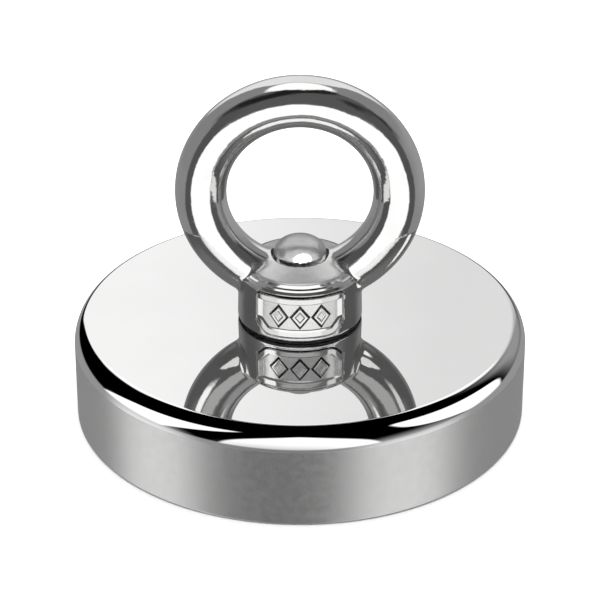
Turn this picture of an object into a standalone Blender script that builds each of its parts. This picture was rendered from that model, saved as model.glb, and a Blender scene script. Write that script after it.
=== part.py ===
"""Magnet fishing magnet: a nickel-plated steel pot holding a ring magnet, with a stainless
eye nut drawn down on it by a countersunk socket screw.

The pot stands on its magnetic face. The origin is the middle of that face, +Z runs up the
screw to the eye, and the eye's ring lies in the XZ plane. Units are metres.
"""

import math

import bmesh
import bpy
from mathutils import Matrix

MM = 0.001
GAP = 0.1 * MM  # between pieces that touch on the real object

# Pot
POT_RADIUS = 33.5 * MM
POT_HEIGHT = 15.0 * MM
POT_RIM_ROUND = 3.0 * MM
POT_FACE_CHAMFER = 0.4 * MM
POT_WALL = 5.0 * MM
CAVITY_DEPTH = 9.0 * MM
SCREW_HOLE_RADIUS = 4.5 * MM
SCREW_HOLE_CHAMFER = 0.4 * MM

# Magnet system inside the pot
RESIN_WIDTH = 1.0 * MM
MAGNET_RECESS = 0.3 * MM
MAGNET_CHAMFER = 0.5 * MM
RESIN_RECESS = 0.4 * MM
BOND_THICKNESS = 0.3 * MM
POLE_RADIUS = 11.0 * MM
RECESS_RADIUS = 8.3 * MM
SEAT_CLEARANCE = 0.15 * MM

# M8 x 25 countersunk socket screw
PITCH = 1.25 * MM
THREAD_SLOPE = math.tan(math.radians(30.0))
SCREW_CREST = 3.95 * MM
SCREW_ROOT = 3.20 * MM
SCREW_HALF_CREST = PITCH / 16
SCREW_LENGTH = 25.0 * MM
SCREW_FACE_Z = 3.3 * MM
HEAD_RADIUS = 8.0 * MM
HEAD_LAND = 0.5 * MM
HEAD_EDGE = 0.2 * MM
SHANK_RADIUS = 3.55 * MM
THREAD_START_Z = 9.4 * MM
POINT_RADIUS = 3.98 * MM
POINT_ROUND_HEIGHT = 3.0 * MM
POINT_ARC = math.radians(80.0)
SOCKET_ACROSS_FLATS = 5.0 * MM
SOCKET_DEPTH = 3.6 * MM

# Washer under the collar
WASHER_GAP = 0.05 * MM
WASHER_THICKNESS = 0.4 * MM
WASHER_RADIUS = 9.1 * MM
WASHER_BORE = 4.6 * MM

# Eye nut
FLANK_GAP = 0.12 * MM
NUT_THREAD_OUTER = 4.10 * MM
NUT_THREAD_INNER = 3.40 * MM
NUT_MOUTH_RADIUS = 4.35 * MM
NUT_MOUTH_Z = 24.3 * MM
NUT_SEAT_MOUTH = 4.6 * MM
COLLAR_BOTTOM_RADIUS = 9.2 * MM
COLLAR_TOP_RADIUS = 9.0 * MM
COLLAR_TOP_Z = 22.9 * MM
COLLAR_CHAMFER = 0.45 * MM
COLLAR_ROUND = 0.8 * MM
CROWN_RADIUS = 4.6 * MM
CROWN_Z = 25.1 * MM
RING_RADIUS = 14.35 * MM
RING_WIRE = 3.75 * MM
RING_CENTRE_Z = 35.35 * MM
PANEL_HALF_ANGLE = math.radians(43.0)
PANEL_DEPTH = 0.4 * MM
PANEL_LOW_Z = 16.3 * MM
PANEL_HIGH_Z = 22.4 * MM
PIP_RADIUS = 1.15 * MM
PIP_SPACING = math.radians(21.0)

# Facets round a turned piece and along a thread
ROUND_STEPS = 96
COLLAR_STEPS = 48
TOOL_STEPS = 36
TOOL_PHASE = math.radians(3.0)
THREAD_STEPS = 32
RING_STEPS = 72
WIRE_STEPS = 20
FILLET_STEPS = 6
POINT_STEPS = 7

# Heights that follow from the sizes above
CAVITY_RADIUS = POT_RADIUS - POT_WALL
MAGNET_OUTER = CAVITY_RADIUS - RESIN_WIDTH
MAGNET_INNER = POLE_RADIUS + RESIN_WIDTH
BOND_TOP_Z = CAVITY_DEPTH - GAP
MAGNET_TOP_Z = BOND_TOP_Z - BOND_THICKNESS - GAP
WASHER_Z = POT_HEIGHT + WASHER_GAP
SEAT_Z = WASHER_Z + WASHER_THICKNESS + WASHER_GAP
SCREW_TOP_Z = SCREW_FACE_Z + SCREW_LENGTH
POINT_Z = SCREW_TOP_Z - POINT_ROUND_HEIGHT
CONE_Z = SCREW_FACE_Z + HEAD_LAND
SHARP_EDGE = math.radians(32.0)


def clear_scene():
    for obj in list(bpy.data.objects):
        bpy.data.objects.remove(obj, do_unlink=True)


def material(name, colour, roughness, metallic):
    made = bpy.data.materials.new(name)
    made.use_nodes = True
    shader = made.node_tree.nodes["Principled BSDF"]
    shader.inputs["Base Color"].default_value = (*colour, 1.0)
    shader.inputs["Roughness"].default_value = roughness
    shader.inputs["Metallic"].default_value = metallic
    return made


def object_from(name, bm, finish=None):
    """Turns a bmesh into an object in the scene, with its faces pointing out."""
    bmesh.ops.recalc_face_normals(bm, faces=bm.faces)
    mesh = bpy.data.meshes.new(name)
    bm.to_mesh(mesh)
    bm.free()
    mesh.shade_smooth()
    mesh.set_sharp_from_angle(angle=SHARP_EDGE)
    obj = bpy.data.objects.new(name, mesh)
    bpy.context.scene.collection.objects.link(obj)
    if finish:
        mesh.materials.append(finish)
    return obj


def as_tool(obj):
    """Hides a shape that only joins or cuts another."""
    obj.hide_render = True
    obj.display_type = "WIRE"
    return obj


def combine(obj, tool, operation):
    modifier = obj.modifiers.new(f"{operation.lower()} {tool.name}", "BOOLEAN")
    modifier.operation = operation
    modifier.solver = "EXACT"
    modifier.object = as_tool(tool)


def arc(centre, radius, start, end, steps=FILLET_STEPS):
    """Points of an arc in the (radius, height) plane, from start to end degrees."""
    angles = [math.radians(start + (end - start) * i / steps) for i in range(steps + 1)]
    return [(centre[0] + radius * math.cos(a), centre[1] + radius * math.sin(a)) for a in angles]


def turned(outline, steps, solid=False, phase=0.0, turn=2 * math.pi):
    """A bmesh of an outline, in (radius, height) points, spun about Z from the phase angle.

    The outline closes on itself, or if solid is set runs from one flat end to the other.
    """
    bm = bmesh.new()
    verts = [
        bm.verts.new((radius * math.cos(phase), radius * math.sin(phase), height))
        for radius, height in outline
    ]
    ends = zip(verts, verts[1:]) if solid else zip(verts, verts[1:] + verts[:1])
    edges = [bm.edges.new(pair) for pair in ends]
    bmesh.ops.spin(
        bm, geom=verts + edges, cent=(0, 0, 0), axis=(0, 0, 1), dvec=(0, 0, 0),
        angle=turn, steps=steps, use_merge=turn > 6.28, use_duplicate=False,
    )
    bmesh.ops.holes_fill(bm, edges=bm.edges, sides=0)
    return bm


def ring_of_verts(bm, radius, height):
    angles = [2 * math.pi * i / THREAD_STEPS for i in range(THREAD_STEPS)]
    return [bm.verts.new((radius * math.cos(a), radius * math.sin(a), height)) for a in angles]


def threaded(crest, root, half_crest, low, high):
    """A bmesh of a rod whose right-handed thread reaches past low and high in whole turns."""
    bm = bmesh.new()
    half_root = half_crest + (crest - root) * THREAD_SLOPE
    profile = ((root, -half_root), (crest, -half_crest), (crest, half_crest), (root, half_root))
    first = math.floor(low / PITCH)
    turns = math.ceil(high / PITCH) - first
    last = turns * THREAD_STEPS
    rows = []
    for i in range(last + 1):
        angle = 2 * math.pi * i / THREAD_STEPS
        climb = PITCH * (first + i / THREAD_STEPS)
        rows.append([
            bm.verts.new((radius * math.cos(angle), radius * math.sin(angle), climb + shift))
            for radius, shift in profile
        ])
    for i in range(last):
        for j in range(len(profile) - 1):
            bm.faces.new((rows[i][j], rows[i + 1][j], rows[i + 1][j + 1], rows[i][j + 1]))
    for i in range(last - THREAD_STEPS):
        above = i + THREAD_STEPS
        bm.faces.new((rows[i][-1], rows[i + 1][-1], rows[above + 1][0], rows[above][0]))
    bm.faces.new(rows[0])
    bm.faces.new(rows[last])

    foot = ring_of_verts(bm, root, PITCH * (first - 1))
    head = ring_of_verts(bm, root, PITCH * (first + turns + 1))
    bm.faces.new(foot)
    bm.faces.new(head)
    under = [row[0] for row in rows[:THREAD_STEPS + 1]]
    over = [row[-1] for row in rows[last - THREAD_STEPS:]]
    for i in range(THREAD_STEPS - 1):
        bm.faces.new((foot[i], foot[i + 1], under[i + 1], under[i]))
        bm.faces.new((over[i + 1], over[i + 2], head[(i + 2) % THREAD_STEPS], head[i + 1]))
    bm.faces.new((foot[-1], foot[0], rows[0][0], rows[0][-1], under[-1], under[-2]))
    bm.faces.new((over[0], over[1], head[1], head[0], rows[last][-1], rows[last][0]))
    return bm


def make_pot(finish):
    round_centre = (POT_RADIUS - POT_RIM_ROUND, POT_HEIGHT - POT_RIM_ROUND)
    outline = [
        (CAVITY_RADIUS, 0),
        (POT_RADIUS - POT_FACE_CHAMFER, 0),
        (POT_RADIUS, POT_FACE_CHAMFER),
        *arc(round_centre, POT_RIM_ROUND, 0, 90),
        (SCREW_HOLE_RADIUS + SCREW_HOLE_CHAMFER, POT_HEIGHT),
        (SCREW_HOLE_RADIUS, POT_HEIGHT - SCREW_HOLE_CHAMFER),
        (SCREW_HOLE_RADIUS, CAVITY_DEPTH),
        (CAVITY_RADIUS, CAVITY_DEPTH),
    ]
    return object_from("steel_pot", turned(outline, ROUND_STEPS), finish)


def make_band(name, inner, outer, low, high, finish, chamfer=0.0):
    """A flat ring, with its four edges chamfered if chamfer is given."""
    outline = [
        (inner + chamfer, low),
        (outer - chamfer, low),
        (outer, low + chamfer),
        (outer, high - chamfer),
        (outer - chamfer, high),
        (inner + chamfer, high),
        (inner, high - chamfer),
        (inner, low + chamfer),
    ]
    return object_from(name, turned(outline if chamfer else outline[1::2], ROUND_STEPS), finish)


def make_pole(finish):
    """The bush in the middle of the magnet, countersunk for the screw's head."""
    cone_z = CONE_Z + HEAD_RADIUS + SEAT_CLEARANCE - RECESS_RADIUS
    outline = [
        (POLE_RADIUS - MAGNET_CHAMFER, 0),
        (POLE_RADIUS, MAGNET_CHAMFER),
        (POLE_RADIUS, BOND_TOP_Z),
        (SCREW_HOLE_RADIUS, BOND_TOP_Z),
        (SCREW_HOLE_RADIUS, cone_z + RECESS_RADIUS - SCREW_HOLE_RADIUS),
        (RECESS_RADIUS, cone_z),
        (RECESS_RADIUS, POT_FACE_CHAMFER),
        (RECESS_RADIUS + POT_FACE_CHAMFER, 0),
    ]
    return object_from("centre_pole", turned(outline, ROUND_STEPS), finish)


def make_screw(finish):
    """The countersunk screw, its thread cut to length by a turned envelope."""
    thread = threaded(
        SCREW_CREST, SCREW_ROOT, SCREW_HALF_CREST, THREAD_START_Z - PITCH, SCREW_TOP_Z + PITCH,
    )
    beyond = SCREW_CREST + 0.3 * MM
    run_out = beyond - POINT_RADIUS
    point = []
    for i in range(POINT_STEPS + 1):
        angle = POINT_ARC * i / POINT_STEPS
        rise = POINT_ROUND_HEIGHT * math.sin(angle) / math.sin(POINT_ARC)
        point.append((POINT_RADIUS * math.cos(angle), POINT_Z + rise))
    envelope = [
        (POINT_RADIUS, THREAD_START_Z),
        (beyond, THREAD_START_Z + run_out),
        (beyond, POINT_Z - run_out),
        *point,
    ]
    head = [
        (HEAD_RADIUS - HEAD_EDGE, SCREW_FACE_Z),
        (HEAD_RADIUS, SCREW_FACE_Z + HEAD_EDGE),
        (HEAD_RADIUS, CONE_Z),
        (SHANK_RADIUS, CONE_Z + HEAD_RADIUS - SHANK_RADIUS),
        (SHANK_RADIUS, THREAD_START_Z + 2 * PITCH),
    ]
    screw = object_from("countersunk_screw", thread, finish)
    for name, outline, operation in (
        ("screw_envelope", envelope, "INTERSECT"), ("screw_head", head, "UNION"),
    ):
        shape = turned(outline, TOOL_STEPS, solid=True, phase=TOOL_PHASE)
        combine(screw, object_from(name, shape), operation)
    combine(screw, make_socket(), "DIFFERENCE")
    return screw


def make_socket():
    """The hexagonal hole for the key, as a cutter that starts below the head."""
    bm = bmesh.new()
    corner = SOCKET_ACROSS_FLATS / math.sqrt(3)
    middle = Matrix.Translation((0, 0, SCREW_FACE_Z))
    bmesh.ops.create_cone(
        bm, cap_ends=True, segments=6, radius1=corner, radius2=corner,
        depth=2 * SOCKET_DEPTH, matrix=middle,
    )
    return object_from("screw_socket", bm)


def make_ring():
    """The round eye as a torus standing in the XZ plane."""
    bm = bmesh.new()
    middle = Matrix.Translation((0, 0, RING_CENTRE_Z))
    first = Matrix.Rotation(math.pi / RING_STEPS, 4, "Y") @ Matrix.Translation((RING_RADIUS, 0, 0))
    offset = Matrix.Rotation(math.pi / WIRE_STEPS, 4, "Z")
    wire = bmesh.ops.create_circle(
        bm, segments=WIRE_STEPS, radius=RING_WIRE, matrix=middle @ first @ offset,
    )["verts"]
    edges = list({edge for vert in wire for edge in vert.link_edges})
    bmesh.ops.spin(
        bm, geom=wire + edges, cent=(0, 0, RING_CENTRE_Z), axis=(0, 1, 0), dvec=(0, 0, 0),
        angle=2 * math.pi, steps=RING_STEPS, use_merge=True, use_duplicate=False,
    )
    bmesh.ops.remove_doubles(bm, verts=bm.verts, dist=1e-7)
    return object_from("eye_ring_shape", bm)


def make_panel_cutter(name, facing):
    """A block bent round the collar, which sinks the marking panel on one side."""
    outline = [
        (COLLAR_TOP_RADIUS - PANEL_DEPTH, PANEL_LOW_Z),
        (COLLAR_BOTTOM_RADIUS + 1 * MM, PANEL_LOW_Z),
        (COLLAR_BOTTOM_RADIUS + 1 * MM, PANEL_HIGH_Z),
        (COLLAR_TOP_RADIUS - PANEL_DEPTH, PANEL_HIGH_Z),
    ]
    bm = turned(outline, 17, turn=2 * PANEL_HALF_ANGLE)
    start = Matrix.Rotation(facing - PANEL_HALF_ANGLE, 4, "Z")
    bmesh.ops.transform(bm, matrix=start, verts=bm.verts)
    return object_from(name, bm)


def make_pip(name, angle):
    """A raised lozenge in the panel, standing in for the maker's marking."""
    bm = bmesh.new()
    height = 2 * PANEL_DEPTH
    foot = COLLAR_TOP_RADIUS - 2 * PANEL_DEPTH
    outward = Matrix.Rotation(math.pi / 2, 4, "Y")
    place = Matrix.Translation((foot + height / 2, 0, (PANEL_LOW_Z + PANEL_HIGH_Z) / 2))
    bmesh.ops.create_cone(
        bm, cap_ends=True, segments=4, radius1=PIP_RADIUS * 1.25, radius2=PIP_RADIUS * 0.5,
        depth=height, matrix=Matrix.Rotation(angle, 4, "Z") @ place @ outward,
    )
    return object_from(name, bm)


def make_nut_hole(nut):
    """Cuts the threaded hole, chamfered at the seat and opened out round the screw's end."""
    core = NUT_THREAD_INNER - 0.15 * MM
    bore = [
        (NUT_SEAT_MOUTH + 1 * MM, SEAT_Z - 1 * MM),
        (core, SEAT_Z + NUT_SEAT_MOUTH - core),
        (core, NUT_MOUTH_Z - NUT_MOUTH_RADIUS + core),
        (NUT_MOUTH_RADIUS, NUT_MOUTH_Z),
        (NUT_MOUTH_RADIUS, SCREW_TOP_Z + 1 * MM),
    ]
    shape = turned(bore, TOOL_STEPS, solid=True, phase=TOOL_PHASE)
    combine(nut, object_from("nut_bore", shape), "DIFFERENCE")
    half_crest = SCREW_HALF_CREST + FLANK_GAP - (NUT_THREAD_OUTER - SCREW_CREST) * THREAD_SLOPE
    thread = threaded(
        NUT_THREAD_OUTER, NUT_THREAD_INNER, half_crest, SEAT_Z - 2 * PITCH, NUT_MOUTH_Z,
    )
    combine(nut, object_from("nut_thread", thread), "DIFFERENCE")


def make_eye_nut(finish):
    collar = [
        (COLLAR_BOTTOM_RADIUS - COLLAR_CHAMFER, SEAT_Z),
        (COLLAR_BOTTOM_RADIUS, SEAT_Z + COLLAR_CHAMFER),
        (COLLAR_TOP_RADIUS, COLLAR_TOP_Z),
        *arc((COLLAR_TOP_RADIUS - COLLAR_ROUND, COLLAR_TOP_Z), COLLAR_ROUND, 15, 60, 3),
        (CROWN_RADIUS, CROWN_Z),
    ]
    shape = turned(collar, COLLAR_STEPS, solid=True, phase=math.pi / COLLAR_STEPS)
    nut = object_from("eye_nut", shape, finish)
    combine(nut, make_ring(), "UNION")
    make_nut_hole(nut)
    for side, facing in (("front", -math.pi / 2), ("back", math.pi / 2)):
        combine(nut, make_panel_cutter(f"panel_{side}", facing), "DIFFERENCE")
        for i in (-1, 0, 1):
            pip = make_pip(f"pip_{side}_{i + 2}", facing + i * PIP_SPACING)
            combine(nut, pip, "UNION")
    return nut


def main():
    clear_scene()
    nickel = material("polished nickel plate", (0.80, 0.80, 0.79), 0.08, 1.0)
    magnet_nickel = material("dull nickel plate", (0.62, 0.61, 0.59), 0.30, 1.0)
    stainless = material("polished stainless", (0.66, 0.66, 0.65), 0.12, 1.0)
    resin = material("black potting resin", (0.02, 0.02, 0.022), 0.35, 0.0)
    rubber = material("black rubber", (0.015, 0.015, 0.015), 0.60, 0.0)

    make_pot(nickel)
    make_band("ring_magnet", MAGNET_INNER, MAGNET_OUTER, MAGNET_RECESS, MAGNET_TOP_Z,
              magnet_nickel, MAGNET_CHAMFER)
    make_band("outer_resin_ring", MAGNET_OUTER + GAP, CAVITY_RADIUS - GAP, RESIN_RECESS,
              MAGNET_TOP_Z, resin)
    make_band("inner_resin_ring", POLE_RADIUS + GAP, MAGNET_INNER - GAP, RESIN_RECESS,
              MAGNET_TOP_Z, resin)
    make_band("bond_film", POLE_RADIUS + GAP, CAVITY_RADIUS - GAP, MAGNET_TOP_Z + GAP,
              BOND_TOP_Z, resin)
    make_pole(magnet_nickel)
    make_screw(stainless)
    make_band("collar_washer", WASHER_BORE, WASHER_RADIUS, WASHER_Z,
              WASHER_Z + WASHER_THICKNESS, rubber)
    make_eye_nut(stainless)


main()
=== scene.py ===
"""The looks of a magnet fishing magnet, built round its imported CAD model.

The pot stands on its magnetic face at the origin, +Z runs up the screw and the front, which
the camera faces, is -Y. Detail sizes are in millimetres; places come from the CAD boxes.
"""

import math

import bpy
import numpy as np
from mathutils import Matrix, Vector


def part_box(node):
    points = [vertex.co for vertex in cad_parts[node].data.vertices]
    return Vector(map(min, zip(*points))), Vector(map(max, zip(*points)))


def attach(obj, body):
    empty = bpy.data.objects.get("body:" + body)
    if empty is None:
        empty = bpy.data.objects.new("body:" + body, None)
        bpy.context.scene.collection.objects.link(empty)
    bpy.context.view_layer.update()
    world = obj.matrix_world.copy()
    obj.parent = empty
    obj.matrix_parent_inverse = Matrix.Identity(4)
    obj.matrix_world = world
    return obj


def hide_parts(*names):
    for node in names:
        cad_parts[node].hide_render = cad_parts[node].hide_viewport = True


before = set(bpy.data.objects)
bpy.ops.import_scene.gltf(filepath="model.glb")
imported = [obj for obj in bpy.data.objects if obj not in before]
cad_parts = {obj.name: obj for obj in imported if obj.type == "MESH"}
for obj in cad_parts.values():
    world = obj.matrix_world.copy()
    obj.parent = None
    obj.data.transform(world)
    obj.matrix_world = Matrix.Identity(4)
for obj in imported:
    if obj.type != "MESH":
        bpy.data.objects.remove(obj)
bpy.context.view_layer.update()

MM = 0.001
MM_PER_M = 1000.0

# Windows that the metal mirrors, one set for each group of pieces: azimuth from the front,
# elevation, half width and half height, all in degrees, then squareness, slant, softness of the
# edge and brightness. A pair of brightnesses fades from left to right. A later window covers an
# earlier one.
FACE_WINDOWS = (
    (180.0, 60.0, 400.0, 16.0, 2.0, 0.0, 0.9, 0.62),  # grey overhead
    (0.0, 22.0, 70.0, 20.0, 2.0, 0.0, 0.9, 1.05),  # white in front, for the view from behind
    (180.0, 26.0, 40.0, 26.0, 4.0, 0.0, 0.25, (0.755, 0.95)),  # backdrop
)
POT_WINDOWS = (
    (180.0, 26.0, 33.0, 23.0, 8.0, 0.0, 0.04, (0.755, 0.95)),  # backdrop
    (180.0, 43.0, 33.0, 6.5, 8.0, 0.0, 0.25, 1.1),  # white line inside the rim's black band
    (-85.0, -6.0, 52.0, 22.0, 1.3, 0.9, 0.05, 1.1),  # white crescent on the rim's left
    (80.0, 16.0, 30.0, 20.0, 3.0, -0.6, 0.05, 1.1),  # white crescent on the rim's right
    (136.0, 16.0, 17.0, 24.0, 3.0, 0.0, 0.6, 0.30),  # grey end of the rim's black band
    (0.0, -12.0, 38.0, 50.0, 1.5, 0.0, 0.04, 1.1),  # white lens in the middle of the rim
    (0.0, -50.0, 400.0, 42.0, 8.0, 0.0, 0.05, 0.30),  # ground that the wall shows
    (-10.0, -50.0, 27.0, 42.0, 3.0, 0.0, 0.5, 0.175),  # dark band down the wall's middle
    (-77.0, -50.0, 23.5, 41.0, 3.0, 0.0, 0.5, 0.97),  # light band down the wall's left
    (54.0, -50.0, 27.0, 41.0, 3.0, 0.0, 0.5, 0.95),  # light band down the wall's right
)
EYE_WINDOWS = (
    (180.0, 35.0, 40.0, 31.0, 6.0, 0.0, 0.05, 0.88),  # backdrop
    (150.0, -5.0, 60.0, 20.0, 4.0, 0.0, 0.5, 0.34),  # grey behind, low on the right
    (0.0, 90.0, 400.0, 22.0, 8.0, 0.0, 0.1, 1.2),  # white overhead
    (0.0, 45.0, 80.0, 31.0, 3.0, 0.0, 0.08, 0.10),  # dark above the front, for the ring's edge
    (12.0, 68.5, 60.0, 6.5, 4.0, 0.0, 0.2, 0.02),  # black under the ring's top highlight
    (-40.0, 54.0, 42.0, 12.0, 2.5, 0.38, 0.4, 0.015),  # black smear on the ring's left
    (60.0, 33.0, 22.0, 13.0, 2.5, -0.4, 0.4, 0.02),  # black smear on the ring's right
    (-55.0, -12.0, 17.0, 50.0, 6.0, -0.1, 0.2, 0.09),  # dark left side of the collar
    (55.0, -12.0, 17.0, 50.0, 6.0, 0.1, 0.2, 0.09),  # dark right side of the collar
    (0.0, -12.0, 44.0, 24.0, 4.0, 0.0, 0.06, 1.2),  # white panel and arms
)
SCREW_WINDOWS = (
    (180.0, 6.0, 75.0, 20.0, 3.0, 0.0, 0.3, 0.28),  # dark behind, low
    (6.0, 22.0, 24.0, 20.0, 4.0, 0.0, 0.1, 4.0),  # white spot on the domed end
)
# What the pot mirrors where it is itself seen mirrored in the eye, and the other way round
POT_IN_EYE_WINDOWS = (
    (180.0, 29.0, 45.0, 30.0, 4.0, 0.0, 0.4, 0.24),  # dim backdrop
    (180.0, 70.0, 400.0, 20.0, 4.0, 0.0, 0.3, 0.17),  # dim overhead
    (0.0, 22.0, 75.0, 17.0, 6.0, 0.0, 0.05, 0.88),  # wide light in front
    (0.0, 20.0, 40.0, 15.0, 6.0, 0.0, 0.1, 1.1),  # white in the middle of it
    (0.0, 66.0, 40.0, 9.0, 4.0, 0.0, 0.1, 1.1),  # white strip high in front
    (98.0, 46.0, 12.0, 12.0, 3.0, 0.0, 0.2, 1.1),  # white spot on the right
)
EYE_IN_POT_WINDOWS = (
    (180.0, 29.0, 45.0, 30.0, 4.0, 0.0, 0.4, 0.20),  # dim backdrop
    (180.0, 70.0, 400.0, 20.0, 4.0, 0.0, 0.3, 0.30),  # dim overhead
    (0.0, 22.0, 88.0, 17.0, 6.0, 0.0, 0.15, 0.16),  # dark in front
    (0.0, 20.0, 40.0, 15.0, 6.0, 0.0, 0.1, 0.42),  # grey in the middle of it
    (-58.0, 25.0, 12.0, 30.0, 4.0, 0.0, 0.2, 1.1),  # white streaks on the left arm
    (62.0, 25.0, 9.0, 30.0, 4.0, 0.0, 0.2, 0.7),  # light streaks on the right arm
)
# Degrees either side of its middle over which a window fades, and the elevations between which
# the ground gives way to the sky
FADE_HALF_WIDTH = 6.6
HORIZON_FADE = (-11.0, -5.0)

# Camera, in metres
CAMERA_ELEVATION = math.radians(29.0)
CAMERA_DISTANCE = 370.0 * MM
CAMERA_LENS = 150.0
CAMERA_TARGET = Vector((0.0, 0.0, 17.4 * MM))

# Pot
RIM_WIDTH = 2.5
RIM_HEIGHT = 3.8
RIM_TURN = math.radians(79.0)
RIM_STEPS = 40
RIM_SHARP_EDGE = math.radians(6.0)
FACE_BORDER = 0.1
FACE_THICKNESS = 1.0
POT_WALL = 5.0
CAVITY_DEPTH = 9.0
SCREW_HOLE_RADIUS = 4.5
RESIN_GAP = 0.1
RESIN_SAG = 0.18
RESIN_STEPS = 12
HEAD_CLEARANCE = 0.3
SEAT_CLEARANCE = 0.15
WASHER_BORE_RADIUS = 4.6

# Screw thread
PITCH = 1.25
THREAD_SLOPE = math.tan(math.radians(30.0))
SCREW_CREST = 3.95
SCREW_ROOT = 3.2
HALF_CREST = PITCH / 16
NUT_THREAD_OUTER = 4.1
NUT_THREAD_INNER = 3.4
FLANK_GAP = 0.12
HEAD_LAND = 0.5
HEAD_RADIUS = 8.0
SHANK_RADIUS = 3.55
THREAD_START = 6.1
RUNOUT = 1.0
POINT_LENGTH = 3.0
POINT_CLOSING = 0.5
DOME_HEIGHT = 2.65
# Worn flats on the domed end: direction from the front, tilt from upright, depth.
POINT_FLATS = (
    (math.radians(7.0), math.radians(66.0), 0.20),
    (math.radians(-52.0), math.radians(58.0), 0.10),
    (math.radians(75.0), math.radians(48.0), 0.10),
    (math.radians(-15.0), math.radians(12.0), 0.05),
)
SOCKET_ACROSS_FLATS = 5.0
SOCKET_DEPTH = 3.6
SOCKET_POINT = 0.7

# Eye nut
RING_RADIUS = 14.35
RING_WIRE = 3.75
COLLAR_BOTTOM_RADIUS = 9.2
COLLAR_TOP_RADIUS = 9.0
SHOULDER_RADIUS = 8.7
SHOULDER_HEIGHT = 8.05
CROWN_RADIUS = 4.6
CROWN_HEIGHT = 9.6
MOUTH_RADIUS = 4.2
MOUTH_ROUND = 0.15
BORE_TOP = 14.0
BORE_ROUND = 0.3
ARM_FILLET = 0.7
SHOULDER_ROUND = 0.7
SEAT_ROUND = 0.25
NUT_SLEEVE = 0.35
NUT_LEAD_IN = 0.9
NUT_LEAD_OUT = 0.6

# Bright lip round the shoulder: its start, then the length and tilt of each band
LIP_RADIUS = 7.7
LIP_HEIGHT = 8.45
LIP_BANDS = (
    (0.55, math.radians(29.0)),
    (0.30, math.radians(41.0)),
    (0.35, math.radians(29.0)),
    (0.46, math.radians(56.0)),
)
LIP_CUT = 0.12
LIP_ROUND = 0.05

# Marking panels, in the plane of the unrolled collar
PANEL_HALF_WIDTH = 6.65
PANEL_HALF_HEIGHT = 3.1
PANEL_MIDDLE = 3.85
PANEL_CORNER = 0.5
PANEL_CLIP = 1.6
PANEL_CLIP_ROUND = 0.5
PANEL_MARGIN = 0.54
PANEL_BACK = 1.3
POCKET_MARGIN = 0.34
POCKET_DEPTH = 1.0
FRAME_PROUD = 0.12
SIDE_LAND = 0.16
SIDE_SLOPE = 0.62
END_LAND = 0.85
END_SLOPE = 0.22
GROOVE_DEPTH = 0.45
FIELD_DEPTH = 0.22
CHANNEL_DEPTH = 0.24
LOZENGE_SPACING = 3.2
LOZENGE_HALF_WIDTH = 1.2
LOZENGE_HALF_HEIGHT = 1.5
LOZENGE_PROUD = 0.16
# Sections: the groove by distance outside the panel's outline, and the lozenge by share of the
# way in from its own outline, each with the height there
GROOVE_SECTION = (
    (-0.06, FRAME_PROUD), (0.03, -GROOVE_DEPTH), (0.18, -GROOVE_DEPTH),
    (0.25, 0.01), (0.45, 0.01), (0.52, -0.5),
)
LOZENGE_SECTION = (
    (-0.30, 0.0), (-0.22, -CHANNEL_DEPTH), (-0.05, -CHANNEL_DEPTH),
    (0.04, LOZENGE_PROUD), (0.35, LOZENGE_PROUD), (0.55, 0.0),
)

# Fineness of the meshes
SHARP_EDGE = math.radians(35.0)
TURN_STEPS = 256
THREAD_TURN_STEPS = 144
THREAD_CELL = 0.06
POINT_STEPS = 40
FILLET_STEPS = 6
FILLET_SUPPORT = 0.2
COLLAR_PASSES = 12
SETTLE_PASSES = 3
EYE_CELL = 0.26
EYE_FINE_CELL = 0.13
PANEL_CELL = 0.06
DOME_STEPS = 32
DOME_TURN_STEPS = 64

# Studio, in metres
FLOOR_HALF_WIDTH = 3.0
FLOOR_DROP = 0.05 * MM


# Meshes ---------------------------------------------------------------------------------------

def add_object(name, points, faces, normals=None, sharp=SHARP_EDGE):
    """Makes a smooth-shaded object from points in millimetres."""
    mesh = bpy.data.meshes.new(name)
    faces = faces.tolist() if isinstance(faces, np.ndarray) else faces
    mesh.from_pydata((np.asarray(points) * MM).tolist(), [], faces)
    mesh.validate()
    mesh.shade_smooth()
    if normals is None:
        mesh.set_sharp_from_angle(angle=sharp)
    else:
        mesh.normals_split_custom_set_from_vertices(normals.tolist())
    obj = bpy.data.objects.new(name, mesh)
    bpy.context.scene.collection.objects.link(obj)
    return obj


def grid_faces(rows, columns, wrap_rows=False):
    """Quads joining each ring of points to the next one up, facing out of the rings."""
    faces = []
    for i in range(rows if wrap_rows else rows - 1):
        for j in range(columns):
            low, high = i * columns, (i + 1) % rows * columns
            after = (j + 1) % columns
            faces.append((low + j, low + after, high + after, high + j))
    return faces


def loft(rings, closed=False):
    """A solid through rings of points: joined end to end, or closed with a flat face each end."""
    rings = np.asarray(rings)
    rows, columns = rings.shape[:2]
    faces = grid_faces(rows, columns, wrap_rows=closed)
    if not closed:
        faces.append(tuple(range(columns - 1, -1, -1)))
        faces.append(tuple(range((rows - 1) * columns, rows * columns)))
    return rings.reshape(-1, 3), faces


def turn_angles(steps):
    return np.arange(steps) * 2 * math.pi / steps


def ring_at(radius, height, angles):
    """A level ring of points, its radius one value or one for each angle."""
    radius = np.broadcast_to(radius, angles.shape)
    heights = np.full(angles.shape, height)
    return np.column_stack([radius * np.cos(angles), radius * np.sin(angles), heights])


def lathe(name, profile, closed=True, steps=TURN_STEPS, sharp=SHARP_EDGE):
    """Turns a (radius, height) profile about Z; it runs up the outside and down the inside."""
    angles = turn_angles(steps)
    points, faces = loft([ring_at(radius, height, angles) for radius, height in profile], closed)
    return add_object(name, points, faces, sharp=sharp)


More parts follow.
